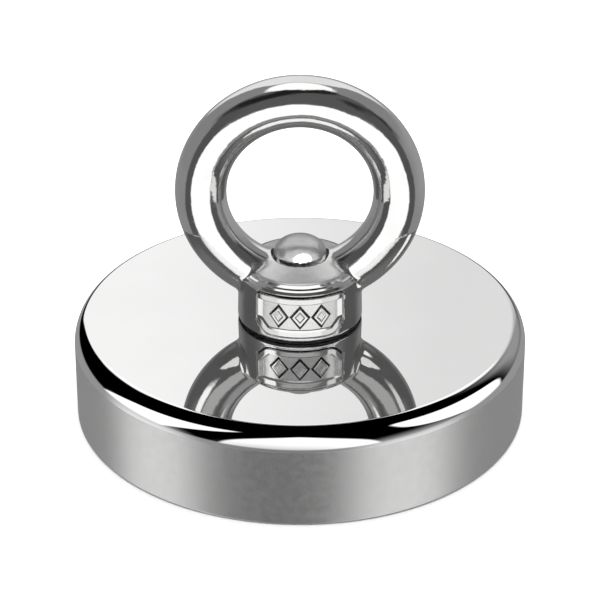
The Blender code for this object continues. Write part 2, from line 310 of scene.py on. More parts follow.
def rounded(corners):
    """A closed profile of (radius, height, fillet) corners, with support points at each fillet."""
    profile = []
    count = len(corners)
    for i, (x, y, fillet) in enumerate(corners):
        here = np.array((x, y))
        before = np.array(corners[i - 1][:2]) - here
        after = np.array(corners[(i + 1) % count][:2]) - here
        before = before / np.linalg.norm(before)
        after = after / np.linalg.norm(after)
        if fillet == 0:
            profile.append(tuple(here))
            continue
        half = math.acos(np.clip(np.dot(before, after), -1, 1)) / 2
        reach = fillet / math.tan(half)
        centre = here + (before + after) / np.linalg.norm(before + after) * fillet / math.sin(half)
        start, end = here + before * reach, here + after * reach
        first = math.atan2(start[1] - centre[1], start[0] - centre[0])
        sweep = math.atan2(end[1] - centre[1], end[0] - centre[0]) - first
        sweep = (sweep + math.pi) % (2 * math.pi) - math.pi
        profile.append(tuple(start + before * fillet * FILLET_SUPPORT))
        for k in range(FILLET_STEPS + 1):
            angle = first + sweep * k / FILLET_STEPS
            spoke = np.array((math.cos(angle), math.sin(angle)))
            profile.append(tuple(centre + fillet * spoke))
        profile.append(tuple(end + after * fillet * FILLET_SUPPORT))
    return profile


def size_of(node):
    """A node's outer radius, and its lowest and highest point, in millimetres."""
    low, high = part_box(node)
    return (high[0] - low[0]) / 2 * MM_PER_M, low[2] * MM_PER_M, high[2] * MM_PER_M


# Pieces of the magnet's body ------------------------------------------------------------------

def rim_reach(turn):
    """How far the rolled rim has run outward and downward, once it has turned by an angle."""
    return RIM_WIDTH * math.sin(turn), RIM_HEIGHT * (1 - math.cos(turn))


def make_pot():
    """The cup, with the soft roll of its polished rim."""
    radius, bottom, top = size_of("steel_pot")
    cavity = radius - POT_WALL
    width, height = rim_reach(RIM_TURN)
    wall = [(radius, top - height - below) for below in (0.4, 0.05)]
    rim = []
    for k in range(RIM_STEPS + 1):
        outward, downward = rim_reach(RIM_TURN * (1 - k / RIM_STEPS))
        rim.append((radius - width + outward, top - downward))
    edge = radius - width - FACE_BORDER
    seat = top - FACE_THICKNESS
    ledge = [(edge + FACE_BORDER / 2, top), (edge, top), (edge, seat)]
    inside = rounded([
        (radius, top, 0), (SCREW_HOLE_RADIUS, seat, 0), (SCREW_HOLE_RADIUS, CAVITY_DEPTH, 0.2),
        (cavity, CAVITY_DEPTH, 0.3), (cavity, bottom, 0.25), (radius, bottom, 0.4),
    ])[1:]
    return lathe("pot_shell", wall + rim + ledge + inside, sharp=RIM_SHARP_EDGE)


def make_face():
    """The flat mirror face, let into the cup inside the roll of its rim."""
    radius, _, top = size_of("steel_pot")
    edge = radius - rim_reach(RIM_TURN)[0] - FACE_BORDER
    seat = top - FACE_THICKNESS
    corners = [
        (edge, seat, 0), (edge, top, 0), (SCREW_HOLE_RADIUS, top, 0.3), (SCREW_HOLE_RADIUS, seat, 0),
    ]
    return lathe("pot_face", rounded(corners))


def make_magnet():
    outer, bottom, top = size_of("ring_magnet")
    inner = size_of("inner_resin_ring")[0] + RESIN_GAP
    corners = [(inner, bottom, 0.5), (outer, bottom, 0.5), (outer, top, 0.5), (inner, top, 0.5)]
    return lathe("plated_ring_magnet", rounded(corners))


def make_resin(node, core):
    """A resin fill round a core, its open face hollowed between the walls that it wets."""
    outer, bottom, top = size_of(node)
    inner = size_of(core)[0] + RESIN_GAP
    hollow = []
    for k in range(RESIN_STEPS + 1):
        across = k / RESIN_STEPS
        sag = RESIN_SAG * (1 - (2 * across - 1) ** 2)
        hollow.append((inner + (outer - inner) * across, bottom + sag))
    return lathe(node.removesuffix("_ring"), hollow + [(outer, top), (inner, top)])


def make_pole():
    """The steel bush, with the recess and countersink that the screw's head sits in."""
    outer, bottom, top = size_of("centre_pole")
    recess = HEAD_RADIUS + HEAD_CLEARANCE
    seat = size_of("countersunk_screw")[1] + HEAD_LAND - SEAT_CLEARANCE
    corners = [
        (recess, bottom, 0.35), (outer, bottom, 0.45), (outer, top, 0.2),
        (SCREW_HOLE_RADIUS, top, 0.2), (SCREW_HOLE_RADIUS, seat + recess - SCREW_HOLE_RADIUS, 0.3),
        (recess, seat, 0.1),
    ]
    return lathe("centre_bush", rounded(corners))


def thread_radius(height, angles, crest, root, half_crest):
    """How far out a right-handed thread reaches at a height, all the way round."""
    phase = (height - PITCH * angles / (2 * math.pi)) / PITCH
    offset = np.abs(phase - np.round(phase)) * PITCH
    return np.clip(crest - (offset - half_crest) / THREAD_SLOPE, root, crest)


def worn_radius(height, angles):
    """How far out the flats worn on the screw's domed end let it reach."""
    radius = np.full(angles.shape, SCREW_CREST)
    for facing, tilt, depth in POINT_FLATS:
        reach = math.hypot(SCREW_CREST * math.sin(tilt), DOME_HEIGHT * math.cos(tilt)) - depth
        toward = np.maximum(np.cos(angles + math.pi / 2 - facing), 0.02)
        limit = (reach - height * math.cos(tilt)) / (math.sin(tilt) * toward)
        radius = np.minimum(radius, np.maximum(limit, 0.05))
    return radius


def screw_thread(start, shoulder, angles):
    """Radii and heights up the screw's thread, which runs out into its shank."""
    profile = []
    for height in np.arange(start, shoulder, THREAD_CELL):
        runout = max(0.0, 1 - (height - start) / RUNOUT)
        thread = thread_radius(height, angles, SCREW_CREST, SCREW_ROOT, HALF_CREST)
        shank = SCREW_ROOT + (SHANK_RADIUS - SCREW_ROOT) * runout
        profile.append((np.maximum(thread, shank), height))
    return profile


def screw_point(shoulder, angles):
    """Radii and heights over the domed end, where the thread fades into the dome."""
    profile = []
    for k in range(POINT_STEPS):
        turn = math.pi / 2 * k / POINT_STEPS
        dome = SCREW_CREST * math.cos(turn)
        height = shoulder + DOME_HEIGHT * math.sin(turn)
        thread = thread_radius(height, angles, SCREW_CREST, SCREW_ROOT, HALF_CREST)
        closing = min(1.0, max(0.0, (height - shoulder) / POINT_CLOSING))
        worn = np.minimum(dome, worn_radius(height - shoulder, angles))
        profile.append((np.minimum(worn, thread + (SCREW_CREST - thread) * closing), height))
    return profile


def make_screw():
    """The countersunk screw in one skin, from the key socket's floor to the domed end."""
    face, end = size_of("countersunk_screw")[1:]
    angles = turn_angles(THREAD_TURN_STEPS)
    side = np.mod(angles + math.pi / 6, math.pi / 3) - math.pi / 6
    hexagon = SOCKET_ACROSS_FLATS / 2 / np.cos(math.pi / 6 - np.abs(side))
    floor = face + SOCKET_DEPTH
    cone = face + HEAD_LAND
    neck = cone + HEAD_RADIUS - SHANK_RADIUS
    shoulder = end - POINT_LENGTH
    socket = [
        (0.4, floor + SOCKET_POINT), (hexagon * 0.97, floor), (hexagon, floor - 0.1),
        (hexagon, face + 0.25), (hexagon + 0.08, face + 0.08), (hexagon + 0.3, face),
    ]
    head = [
        (4.6, face), (HEAD_RADIUS - 0.35, face), (HEAD_RADIUS - 0.12, face + 0.05),
        (HEAD_RADIUS, face + 0.22), (HEAD_RADIUS, cone - 0.05), (HEAD_RADIUS - 0.1, cone + 0.1),
        (SHANK_RADIUS + 0.15, neck - 0.15), (SHANK_RADIUS, neck + 0.2),
    ]
    thread = screw_thread(face + THREAD_START, shoulder, angles)
    profile = socket + head + thread + screw_point(shoulder, angles)
    points, faces = loft([ring_at(radius, height, angles) for radius, height in profile])
    return add_object("countersunk_socket_screw", points, faces)


def make_washer():
    outer, bottom, top = size_of("collar_washer")
    inner = WASHER_BORE_RADIUS
    corners = [(inner, bottom, 0.2), (outer, bottom, 0.3), (outer, top, 0.3), (inner, top, 0.2)]
    return lathe("collar_washer_visual", rounded(corners))


# The cast eye ---------------------------------------------------------------------------------

# Where the eye sits, and the middle of its ring above that seat
EYE_SEAT = size_of("eye_nut")[1]
EYE_RING_HEIGHT = size_of("eye_nut")[2] - RING_RADIUS - RING_WIRE - EYE_SEAT


def smooth_min(a, b, reach):
    """The lesser of two distances, with a fillet where they meet."""
    mix = np.clip(0.5 + 0.5 * (b - a) / reach, 0.0, 1.0)
    return b + (a - b) * mix - reach * mix * (1.0 - mix)


def smooth_max(a, b, reach):
    return -smooth_min(-a, -b, reach)


def lip_reach():
    """How far the lip's bands run outward and downward."""
    across = sum(length * math.cos(tilt) for length, tilt in LIP_BANDS)
    down = sum(length * math.sin(tilt) for length, tilt in LIP_BANDS)
    return across, down


def collar_distance(radius, z):
    """Signed distance to the collar and its sloping shoulder."""
    taper = (COLLAR_BOTTOM_RADIUS - COLLAR_TOP_RADIUS) / SHOULDER_HEIGHT
    side = radius - COLLAR_BOTTOM_RADIUS + taper * z
    run, rise = SHOULDER_RADIUS - CROWN_RADIUS, CROWN_HEIGHT - SHOULDER_HEIGHT
    slope = math.hypot(run, rise)
    shoulder = ((radius - SHOULDER_RADIUS) * rise + (z - SHOULDER_HEIGHT) * run) / slope
    across, down = lip_reach()
    under_lip = ((radius - LIP_RADIUS) * down + (z - LIP_HEIGHT) * across) / math.hypot(across, down)
    return smooth_max(smooth_max(side, shoulder, SHOULDER_ROUND), under_lip + LIP_CUT, LIP_ROUND)


def collar_radius(z):
    """Where the collar's outside is at a height, roundings and all."""
    radius = np.full_like(z, COLLAR_TOP_RADIUS)
    for _ in range(COLLAR_PASSES):
        radius = radius - smooth_max(collar_distance(radius, z), -z, SEAT_ROUND)
    return radius


def eye_distance(x, y, z):
    """Signed distance to the casting, from the middle of its seat, in millimetres."""
    around = np.sqrt(x * x + (z - EYE_RING_HEIGHT) ** 2) - RING_RADIUS
    ring = np.sqrt(around * around + y * y) - RING_WIRE
    radius = np.sqrt(x * x + y * y)
    body = smooth_min(collar_distance(radius, z), ring, ARM_FILLET)
    body = smooth_max(body, -z, SEAT_ROUND)
    bore = smooth_max(radius - MOUTH_RADIUS, z - BORE_TOP, BORE_ROUND)
    body = smooth_max(body, -bore, MOUTH_ROUND)
    along = np.arctan2(np.abs(x), np.abs(y)) * COLLAR_TOP_RADIUS
    opening = panel_outline(along, z - PANEL_MIDDLE) - POCKET_MARGIN
    pocket = np.maximum(opening, COLLAR_TOP_RADIUS - POCKET_DEPTH - radius)
    return np.maximum(body, -pocket)


def grid_line(low, high, fine_low, fine_high):
    """Grid places along one axis, closer together over a stretch with small features."""
    places = [low - 2 * EYE_CELL]
    while places[-1] < high + 2 * EYE_CELL:
        fine = fine_low <= places[-1] < fine_high
        places.append(places[-1] + (EYE_FINE_CELL if fine else EYE_CELL))
    return np.array(places)


def crossed_cells(field, axes):
    """A point in each grid cell that the surface crosses, and the number of each cell's point."""
    shape = np.array(field.shape) - 1
    total = np.zeros((*shape, 3))
    count = np.zeros(tuple(shape))
    corners = [(i, j, k) for i in (0, 1) for j in (0, 1) for k in (0, 1)]

    def corner(offset):
        return field[tuple(slice(o, o + n) for o, n in zip(offset, shape))]

    for a in corners:
        for axis in range(3):
            if a[axis]:
                continue
            b = tuple(1 if k == axis else a[k] for k in range(3))
            first, second = corner(a), corner(b)
            crosses = (first < 0) != (second < 0)
            part = np.where(crosses, first / np.where(crosses, first - second, 1.0), 0.0)
            for k in range(3):
                total[..., k] += np.where(crosses, a[k] + (part if k == axis else 0.0), 0.0)
            count += crosses
    active = count > 0
    index = np.full(tuple(shape), -1)
    index[active] = np.arange(active.sum())
    cells = np.argwhere(active)
    inside = total[active] / count[active, None]
    points = np.column_stack([
        line[cells[:, k]] + inside[:, k] * (line[cells[:, k] + 1] - line[cells[:, k]])
        for k, line in enumerate(axes)
    ])
    return points, index


def cell_quads(field, index):
    """A quad round each grid edge that the surface crosses, through the four cells beside it."""
    faces = []
    for axis in range(3):
        u, v = (axis + 1) % 3, (axis + 2) % 3
        forward, backward = [slice(None)] * 3, [slice(None)] * 3
        forward[axis], backward[axis] = slice(1, None), slice(None, -1)
        changes = (field[tuple(backward)] < 0) != (field[tuple(forward)] < 0)
        where = np.argwhere(changes)
        where = where[np.all(where[:, [u, v]] > 0, axis=1)]
        rising = field[tuple(where.T)] < 0
        step_u, step_v = np.eye(3, dtype=int)[u], np.eye(3, dtype=int)[v]
        quad = [where - step_u - step_v, where - step_v, where, where - step_u]
        quad = np.column_stack([index[tuple(q.T)] for q in quad])
        faces.append(np.where(rising[:, None], quad, quad[:, ::-1]))
    return np.vstack(faces)


def slope_of(distance, points, reach=0.01):
    """How fast a distance function rises along each axis, at each point."""
    parts = []
    for k in range(3):
        step = np.eye(3)[k] * reach
        parts.append(distance(*(points + step).T) - distance(*(points - step).T))
    return np.column_stack(parts) / (2 * reach)


def settle(distance, points):
    """Moves points onto the surface where a distance function is zero, and finds its normals."""
    for _ in range(SETTLE_PASSES):
        gradient = slope_of(distance, points)
        square = np.maximum((gradient ** 2).sum(axis=1), 0.25)
        move = -gradient * (distance(*points.T) / square)[:, None]
        points = points + np.clip(move, -EYE_FINE_CELL, EYE_FINE_CELL)
    gradient = slope_of(distance, points)
    normals = gradient / np.maximum(np.linalg.norm(gradient, axis=1), 1e-9)[:, None]
    return points, normals


def surface_of(distance, axes):
    """Points, quads and normals of the surface where a distance function is zero."""
    field = distance(*np.meshgrid(*axes, indexing="ij"))
    points, index = crossed_cells(field, axes)
    faces = cell_quads(field, index)
    points, normals = settle(distance, points)
    return points, faces, normals


def make_eye():
    """The ring and collar, filleted into one casting, with finer cells at its mouth and shoulder."""
    reach = RING_RADIUS + RING_WIRE
    near = MOUTH_RADIUS + 0.7
    points, faces, normals = surface_of(eye_distance, (
        grid_line(-reach, reach, -near, near),
        grid_line(-COLLAR_BOTTOM_RADIUS, COLLAR_BOTTOM_RADIUS, -near, near),
        grid_line(0.0, EYE_RING_HEIGHT + reach, SHOULDER_HEIGHT - 0.6, CROWN_HEIGHT + 0.2),
    ))
    points[:, 2] += EYE_SEAT
    return add_object("cast_eye", points, faces, normals)


def make_lip():
    """The bright stepped lip where the shoulder turns down into the collar's side."""
    radius, height = LIP_RADIUS, LIP_HEIGHT
    outside = [(radius, height)]
    for length, tilt in LIP_BANDS:
        for part in (0.15, 0.7, 0.15):
            radius += length * part * math.cos(tilt)
            height -= length * part * math.sin(tilt)
            outside.append((radius, height))
    # Tucked back into the casting, so that no gap shows under the last band
    outside += [
        (radius, height - 0.06), (radius - 0.6, height - 0.12), (LIP_RADIUS - 0.3, LIP_HEIGHT - 0.5),
    ]
    return lathe("collar_lip", [(r, z + EYE_SEAT) for r, z in outside[::-1]])


def corner_clip(along, up):
    """Distance outside the slanting lines that clip the panel's lower corners."""
    return (np.abs(along) - up - PANEL_HALF_WIDTH - PANEL_HALF_HEIGHT + PANEL_CLIP) / math.sqrt(2)


def panel_outline(along, up):
    """Distance outside the panel's outline, whose lower corners are clipped."""
    past_side = np.abs(along) - PANEL_HALF_WIDTH + PANEL_CORNER
    past_end = np.abs(up) - PANEL_HALF_HEIGHT + PANEL_CORNER
    outside = np.hypot(np.maximum(past_side, 0.0), np.maximum(past_end, 0.0))
    inside = np.minimum(np.maximum(past_side, past_end), 0.0)
    box = outside + inside - PANEL_CORNER
    return smooth_max(box, corner_clip(along, up), PANEL_CLIP_ROUND)


def section_height(distance, section):
    """Height of a section, given as pairs of a distance and the height there."""
    distances, heights = zip(*section)
    return np.interp(distance, distances, heights)


def bar_height(edge, land, slope):
    """Height of a frame bar: a flat land, then a slope down to below the field."""
    foot = -land - slope
    return section_height(edge, ((foot - 0.4, -1.0), (foot, -FIELD_DEPTH), (-land, FRAME_PROUD)))


def lozenge_height(along, up):
    """Height of one lozenge's cushion and of the channel cut round it."""
    inside = 1.0 - np.abs(along) / LOZENGE_HALF_WIDTH - np.abs(up) / LOZENGE_HALF_HEIGHT
    return section_height(inside, LOZENGE_SECTION)


def panel_height(along, up):
    """How far a panel stands out from the collar: a frame in a groove, and three lozenges."""
    edge = panel_outline(along, up)
    field = np.full_like(edge, -FIELD_DEPTH)
    for k in (-1, 0, 1):
        field += lozenge_height(along - k * LOZENGE_SPACING, up)
    inside = np.maximum.reduce([
        field,
        bar_height(np.abs(along) - PANEL_HALF_WIDTH, SIDE_LAND, SIDE_SLOPE),
        bar_height(np.abs(up) - PANEL_HALF_HEIGHT, END_LAND, END_SLOPE),
        bar_height(corner_clip(along, up), END_LAND, END_SLOPE),
    ])
    groove = section_height(edge, GROOVE_SECTION)
    return np.where(edge > GROOVE_SECTION[0][0], np.minimum(inside, groove), inside)


def make_panel(name, facing):
    """One marking panel as a curved plate, sunk into the collar's pocket."""
    half_width, half_height = PANEL_HALF_WIDTH + PANEL_MARGIN, PANEL_HALF_HEIGHT + PANEL_MARGIN
    columns = int(2 * half_width / PANEL_CELL)
    rows = int(2 * half_height / PANEL_CELL)
    along, up = np.meshgrid(
        np.linspace(-half_width, half_width, columns), np.linspace(-half_height, half_height, rows),
    )
    height = up + PANEL_MIDDLE
    front = collar_radius(height) + panel_height(along, up)
    back = np.full_like(front, COLLAR_TOP_RADIUS - PANEL_BACK)
    angle = facing + along / COLLAR_TOP_RADIUS
    layers = [
        np.stack([radius * np.cos(angle), radius * np.sin(angle), height + EYE_SEAT], axis=-1)
        for radius in (front, back)
    ]
    number = np.arange(rows * columns).reshape(rows, columns)
    quads = np.stack(
        [number[:-1, :-1], number[:-1, 1:], number[1:, 1:], number[1:, :-1]], axis=-1,
    ).reshape(-1, 4)
    behind = number.size
    border = np.concatenate([number[0, :-1], number[:-1, -1], number[-1, :0:-1], number[:0:-1, 0]])
    after = np.roll(border, -1)
    sides = np.column_stack([border, border + behind, after + behind, after])
    faces = np.vstack([quads, quads[:, ::-1] + behind, sides])
    return add_object(name, np.stack(layers).reshape(-1, 3), faces)


def make_nut_thread():
    """The thread inside the eye, as a sleeve whose outside is buried in the casting."""
    angles = turn_angles(THREAD_TURN_STEPS)
    bottom, top = EYE_SEAT + 0.15, EYE_SEAT + CROWN_HEIGHT - 0.9
    half_crest = HALF_CREST + FLANK_GAP - (NUT_THREAD_OUTER - SCREW_CREST) * THREAD_SLOPE
    profile = [(MOUTH_RADIUS + NUT_SLEEVE, bottom), (MOUTH_RADIUS + NUT_SLEEVE, top)]
    for height in np.arange(bottom, top, THREAD_CELL)[::-1]:
        mouth = max(0.0, NUT_LEAD_IN - (height - bottom)) + max(0.0, NUT_LEAD_OUT - (top - height))
        thread = thread_radius(height, angles, NUT_THREAD_OUTER, NUT_THREAD_INNER, half_crest)
        profile.append((np.maximum(thread, NUT_THREAD_INNER + mouth), height))
    rings = [ring_at(radius, height, angles) for radius, height in profile]
    points, faces = loft(rings, closed=True)
    return add_object("eye_thread", points, faces)


# Materials ------------------------------------------------------------------------------------

class Nodes:
    """Short calls for building one material's node tree."""

    def __init__(self, name):
        self.material = bpy.data.materials.new(name)
        self.material.use_nodes = True
        self.tree = self.material.node_tree
        self.shader = self.tree.nodes["Principled BSDF"]
        self.place = self.new("ShaderNodeTexCoord").outputs["Object"]

    def new(self, kind, **settings):
        node = self.tree.nodes.new(kind)
        for key, value in settings.items():
            setattr(node, key, value)
        return node

    def feed(self, socket, value):
        """Links a socket into an input, or sets the input to a constant."""
        if isinstance(value, bpy.types.NodeSocket):
            self.tree.links.new(value, socket)
        else:
            socket.default_value = value

    def axes(self, vector):
        """The X, Y and Z outputs of a vector."""
        parts = self.new("ShaderNodeSeparateXYZ")
        self.feed(parts.inputs["Vector"], vector)
        return parts.outputs["X"], parts.outputs["Y"], parts.outputs["Z"]

    def maths(self, operation, a, b=0.0, c=0.0):
        node = self.new("ShaderNodeMath", operation=operation)
        for socket, value in zip(node.inputs, (a, b, c)):
            self.feed(socket, value)
        return node.outputs["Value"]

    def ramp(self, value, low, high, to_low=0.0, to_high=1.0):
        """A smooth step between two results, as a value goes from low to high."""
        node = self.new("ShaderNodeMapRange", interpolation_type="SMOOTHSTEP")
        for socket, given in zip(node.inputs, (value, low, high, to_low, to_high)):
            self.feed(socket, given)
        return node.outputs["Result"]

    def noise(self, scale, detail=3.0, stretch=(1, 1, 1), roughness=0.55):
        """Noise fixed to the piece, finer along an axis that is stretched more."""
        mapping = self.new("ShaderNodeMapping")
        self.feed(mapping.inputs["Vector"], self.place)
        mapping.inputs["Scale"].default_value = stretch
        node = self.new("ShaderNodeTexNoise")
        self.feed(node.inputs["Vector"], mapping.outputs["Vector"])
        node.inputs["Scale"].default_value = scale
        node.inputs["Detail"].default_value = detail
        node.inputs["Roughness"].default_value = roughness
        return node.outputs["Fac"]

    def blend(self, factor, a, b):
        """A mix of two colours, each a triple or a socket."""
        node = self.new("ShaderNodeMix", data_type="RGBA")
        self.feed(node.inputs["Factor"], factor)
        self.feed(node.inputs["A"], (*a, 1.0) if isinstance(a, tuple) else a)
        self.feed(node.inputs["B"], (*b, 1.0) if isinstance(b, tuple) else b)
        return node.outputs["Result"]

    def bump(self, height, distance, strength=1.0, normal=None):
        """A normal roughened by a height, over another normal if there is one."""
        node = self.new("ShaderNodeBump")
        node.inputs["Strength"].default_value = strength
        node.inputs["Distance"].default_value = distance
        self.feed(node.inputs["Height"], height)
        if normal:
            self.feed(node.inputs["Normal"], normal)
        return node.outputs["Normal"]

    def finish(self, colour, roughness, normal=None, metallic=0.0):
        """Feeds the shader and hands back its material."""
        self.feed(self.shader.inputs["Base Color"], colour)
        self.feed(self.shader.inputs["Roughness"], roughness)
        self.shader.inputs["Metallic"].default_value = metallic
        if normal:
            self.feed(self.shader.inputs["Normal"], normal)
        return self.material


def put_on(obj, material):
    obj.data.materials.clear()
    obj.data.materials.append(material)


def bright_nickel(pot_top):
    """Mirror plate on the top and rim, over a satin side wall with faint turning lines."""
    n = Nodes("bright nickel plate")
    z = n.axes(n.place)[2]
    seam = pot_top - rim_reach(RIM_TURN)[1]
    satin = n.ramp(z, (seam + 0.01) * MM, (seam - 0.02) * MM)
    smudges = n.noise(60.0, 4.0)
    grain = n.noise(900.0, 2.0)
    lines = n.noise(1.0, 2.0, stretch=(40, 40, 9000))
    mirror_rough = n.ramp(smudges, 0.35, 0.75, 0.012, 0.03)
    satin_rough = n.ramp(grain, 0.3, 0.7, 0.27, 0.33)
    rough = n.maths("ADD", mirror_rough, n.maths("MULTIPLY", satin, satin_rough))
    tint = n.blend(n.ramp(smudges, 0.3, 0.7), (0.93, 0.93, 0.925), (0.955, 0.955, 0.95))
    colour = n.blend(satin, tint, (0.72, 0.72, 0.715))
    normal = n.bump(n.maths("MULTIPLY", satin, lines), 0.00002, 0.35)
    return n.finish(colour, rough, normal, metallic=1.0)


def polished_stainless(seat):
    """Cast stainless, buffed to a mirror, but for the shoulder and the panels' fields; painted shade
    darkens the panels' sunk grooves.
    """
    n = Nodes("polished cast stainless")
    x, y, z = n.axes(n.place)
    radius = n.maths("SQRT", n.maths("ADD", n.maths("MULTIPLY", x, x), n.maths("MULTIPLY", y, y)))
    crown = (seat + CROWN_HEIGHT) * MM
    above_lip = n.ramp(z, crown - 1.6 * MM, crown - 1.4 * MM)
    below_crown = n.ramp(z, crown + 0.5 * MM, crown)
    inside_lip = n.ramp(radius, (LIP_RADIUS + 0.08) * MM, LIP_RADIUS * MM)
    shoulder = n.maths("MULTIPLY", n.maths("MULTIPLY", above_lip, below_crown), inside_lip)
    taper = (COLLAR_BOTTOM_RADIUS - COLLAR_TOP_RADIUS) / SHOULDER_HEIGHT
    wall = (COLLAR_BOTTOM_RADIUS + taper * seat) * MM
    depth = n.maths("MULTIPLY_ADD", z, -taper, n.maths("SUBTRACT", wall, radius))
    below_lip = n.ramp(z, crown - 1.8 * MM, crown - 2.4 * MM)
    field = n.maths("MULTIPLY", below_lip, n.ramp(depth, 0.1 * MM, 0.2 * MM))
    sunk = n.ramp(depth, (FIELD_DEPTH + 0.04) * MM, (FIELD_DEPTH + 0.14) * MM)
    groove = n.maths("MULTIPLY", below_lip, sunk)
    waves = n.noise(120.0, 3.0)
    peel = n.noise(900.0, 2.0)
    pits = n.noise(1500.0, 2.0)
    rough = n.maths("ADD", n.ramp(waves, 0.3, 0.75, 0.05, 0.09), n.ramp(pits, 0.62, 0.8, 0.0, 0.10))
    rough = n.maths("MULTIPLY_ADD", shoulder, 0.22, rough)
    rough = n.maths("MULTIPLY_ADD", field, 0.18, rough)
    colour = n.blend(n.ramp(waves, 0.3, 0.7), (0.81, 0.81, 0.805), (0.87, 0.87, 0.865))
    # Painted shade: near-black colour laid into the panels' sunk grooves and channels
    painted_recess_shade = n.blend(n.ramp(peel, 0.3, 0.7), (0.03, 0.03, 0.03), (0.16, 0.16, 0.16))
    colour = n.blend(groove, colour, painted_recess_shade)
    normal = n.bump(waves, 0.00028, 0.45)
    normal = n.bump(peel, 0.00002, 0.5, normal)
    return n.finish(colour, rough, normal, metallic=1.0)


def plain_steel(name, colour, low, high):
    """Bare or dull metal whose wear moves its roughness between two limits."""
    n = Nodes(name)
    wear = n.noise(300.0, 4.0)
    fine = n.noise(3000.0, 2.0)
    shade = n.blend(n.ramp(wear, 0.35, 0.7), colour, tuple(c * 0.9 for c in colour))
    normal = n.bump(fine, 0.00001, 0.4)
    return n.finish(shade, n.ramp(wear, 0.3, 0.7, low, high), normal, metallic=1.0)


def screw_steel(end):
    """Plain stainless, with the screw's domed end blasted to a soft sheen."""
    n = Nodes("screw stainless")
    z = n.axes(n.place)[2]
    shoulder = end - POINT_LENGTH
    dome = n.ramp(z, shoulder * MM, (shoulder + 0.3) * MM)
    wear = n.noise(300.0, 4.0)
    mottle = n.noise(420.0, 4.0)
    rough = n.maths("MULTIPLY_ADD", dome, 0.16, n.ramp(wear, 0.3, 0.7, 0.12, 0.2))
    colour = n.blend(n.ramp(mottle, 0.4, 0.65), (0.82, 0.82, 0.815), (0.64, 0.64, 0.635))
    normal = n.bump(mottle, 0.00016, 0.5)
    return n.finish(colour, rough, normal, metallic=1.0)


def black_resin():
    n = Nodes("black potting resin")
    waves = n.noise(400.0, 3.0)
    colour = n.blend(waves, (0.008, 0.008, 0.009), (0.018, 0.018, 0.02))
    return n.finish(colour, n.ramp(waves, 0.3, 0.7, 0.18, 0.34), n.bump(waves, 0.00006, 0.5))


def black_rubber():
    n = Nodes("black rubber")
    grain = n.noise(2500.0, 4.0)
    colour = n.blend(grain, (0.006, 0.006, 0.006), (0.013, 0.013, 0.013))
    return n.finish(colour, n.ramp(grain, 0.3, 0.7, 0.5, 0.65), n.bump(grain, 0.00003, 0.5))


# Studio ---------------------------------------------------------------------------------------

def make_floor():
    """White paper under the pot, which shows from above only and isn't mirrored."""
    half = FLOOR_HALF_WIDTH
    corners = [(-half, -half, 0), (half, -half, 0), (half, half, 0), (-half, half, 0)]
    floor = add_object("studio_floor", np.array(corners) * MM_PER_M, [(0, 1, 2, 3)])
    floor.location.z = -FLOOR_DROP
    floor.visible_glossy = False
    n = Nodes("white paper")
    n.shader.inputs["Base Color"].default_value = (0.92, 0.92, 0.92, 1.0)
    n.shader.inputs["Roughness"].default_value = 0.9
    n.shader.inputs["Specular IOR Level"].default_value = 0.0
    one_sided = n.new("ShaderNodeMixShader")
    n.feed(one_sided.inputs[0], n.new("ShaderNodeNewGeometry").outputs["Backfacing"])
    n.feed(one_sided.inputs[1], n.shader.outputs["BSDF"])
    n.feed(one_sided.inputs[2], n.new("ShaderNodeBsdfTransparent").outputs["BSDF"])
    n.feed(n.tree.nodes["Material Output"].inputs["Surface"], one_sided.outputs["Shader"])
    put_on(floor, n.material)


def make_world():
    """White all round, apart from in reflections, which see the surroundings made below."""
    world = bpy.data.worlds.new("white studio")
    world.use_nodes = True
    bpy.context.scene.world = world
    tree = world.node_tree
    path = tree.nodes.new("ShaderNodeLightPath")
    strength = tree.nodes.new("ShaderNodeMath")
    strength.operation = "SUBTRACT"
    strength.inputs[0].default_value = 1.0
    tree.links.new(path.outputs["Is Glossy Ray"], strength.inputs[1])
    background = tree.nodes["Background"]
    background.inputs["Color"].default_value = (1.0, 1.0, 1.0, 1.0)
    tree.links.new(strength.outputs["Value"], background.inputs["Strength"])


def window_light(n, windows, ground, sky):
    """Brightness in each direction from the middle of a dome, with its windows laid over it."""
    direction = n.new("ShaderNodeVectorMath", operation="NORMALIZE")
    n.feed(direction.inputs[0], n.place)
    x, y, z = n.axes(direction.outputs["Vector"])
    azimuth = n.maths("DEGREES", n.maths("ARCTAN2", x, n.maths("MULTIPLY", y, -1.0)))
    elevation = n.maths("DEGREES", n.maths("ARCSINE", z))
    light = n.ramp(elevation, *HORIZON_FADE, ground, sky)
    for at, height, half_width, half_height, square, slant, soft, level in windows:
        across = n.maths("WRAP", n.maths("SUBTRACT", azimuth, at), 180.0, -180.0)
        middle = n.maths("MULTIPLY_ADD", across, slant, height)
        up = n.maths("SUBTRACT", elevation, middle)
        away = [
            n.maths("POWER", n.maths("ABSOLUTE", n.maths("DIVIDE", offset, half)), square)
            for offset, half in ((across, half_width), (up, half_height))
        ]
        away = n.maths("POWER", n.maths("ADD", *away), 1 / square)
        inside = n.ramp(away, 1.0 + soft, 1.0 - soft)
        if isinstance(level, tuple):
            level = n.ramp(across, -FADE_HALF_WIDTH, FADE_HALF_WIDTH, *level)
        gain = n.maths("SUBTRACT", level, light)
        light = n.maths("MULTIPLY_ADD", gain, inside, light)
    return light


def make_dome(name, radius):
    """An unseen sphere, far enough off that what it shows doesn't shift from piece to piece."""
    profile = []
    for k in range(DOME_STEPS + 1):
        angle = math.pi * k / DOME_STEPS
        profile.append((radius * math.sin(angle) + 0.01, -radius * math.cos(angle)))
    dome = lathe(name, profile, closed=False, steps=DOME_TURN_STEPS)
    dome.visible_camera = False
    dome.visible_diffuse = False
    dome.visible_shadow = False
    return dome


